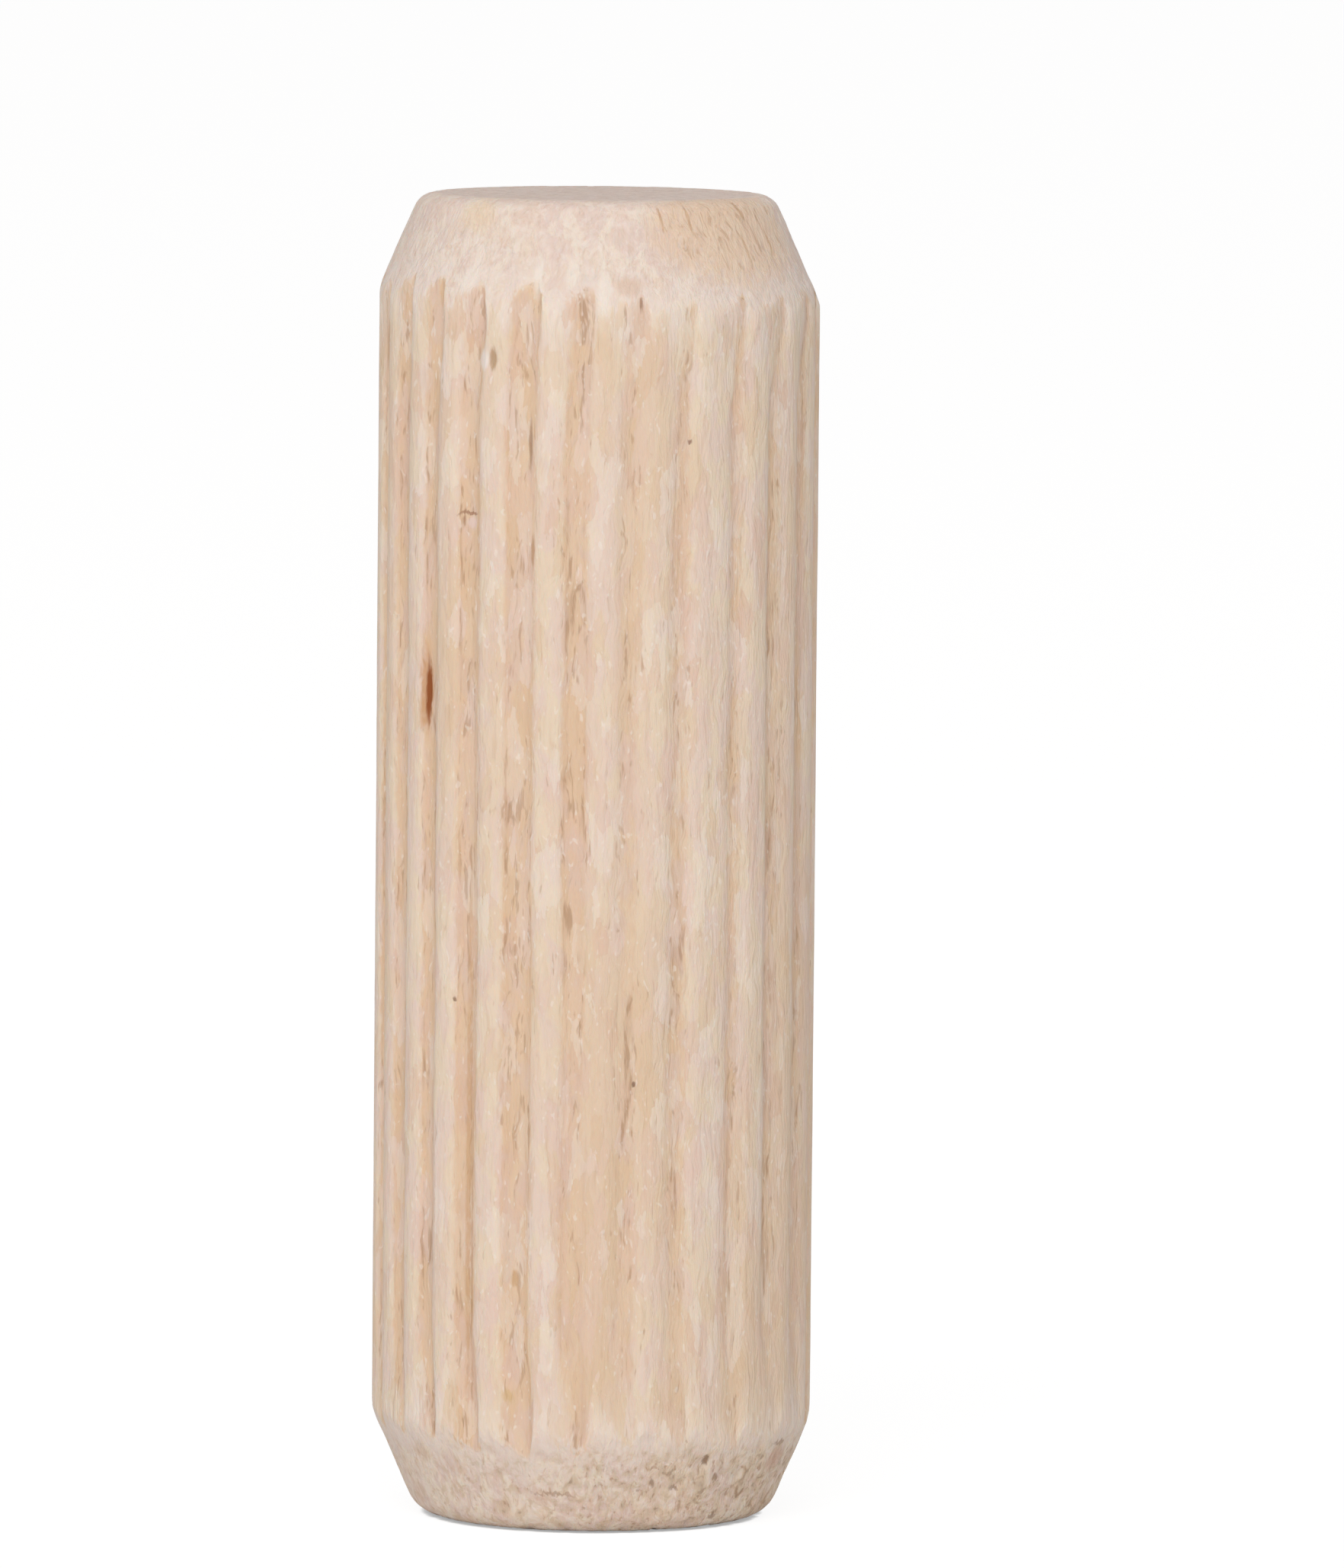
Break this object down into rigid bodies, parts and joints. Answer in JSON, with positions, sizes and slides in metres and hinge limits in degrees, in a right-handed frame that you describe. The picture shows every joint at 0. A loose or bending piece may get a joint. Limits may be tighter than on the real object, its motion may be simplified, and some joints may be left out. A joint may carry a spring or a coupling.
{
  "type": "fluted dowel pin",
  "caption": "Straight hardwood dowel pin with pressed lengthwise flutes and a turned point at each end, glued into two facing holes to join furniture panels.",
  "frame": {"origin": "centre of the lower end face, on which the pin stands", "axes": "+Z along the pin's axis, towards its upper end; a ridge between two flutes faces -Y"},
  "size_m": [0.01, 0.01, 0.03],
  "materials": {
    "wood": "matte"
  },
  "bodies": {
    "root": {"dowel_pin": "wood"}
  },
  "joints": []
}
